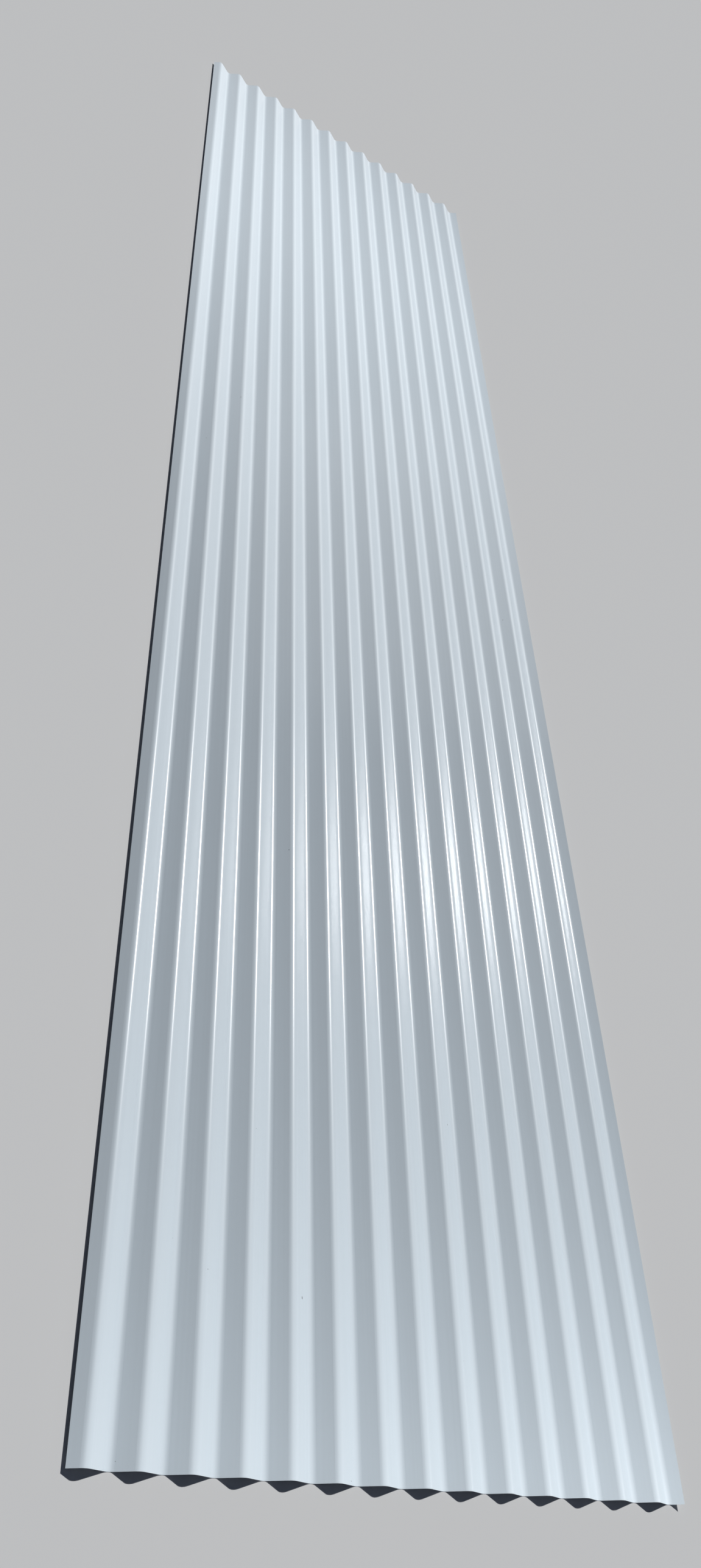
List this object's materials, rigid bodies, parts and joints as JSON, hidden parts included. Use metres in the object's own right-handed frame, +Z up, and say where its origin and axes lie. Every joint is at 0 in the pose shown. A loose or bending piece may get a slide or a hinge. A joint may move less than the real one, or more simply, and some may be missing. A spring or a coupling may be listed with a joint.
{
  "type": "corrugated metal sheet",
  "caption": "Long roll-formed corrugated roofing and cladding sheet of thin painted steel, with evenly rounded waves, square cut ends and open side laps.",
  "frame": {"origin": "middle of the sheet's footprint, at the height of the troughs' underside, which is the level that it lies on", "axes": "+X across the corrugations, to the right when seen from the near end; +Y along the corrugations, to the far end; +Z up, out of the weather side"},
  "size_m": [1.0776, 4.465, 0.017],
  "materials": {
    "painted_steel": "smooth semi-gloss factory coat, pale bluish grey-white, with bare steel showing on the cut edges"
  },
  "bodies": {
    "root": {"corrugated_sheet": "painted_steel"}
  },
  "joints": []
}
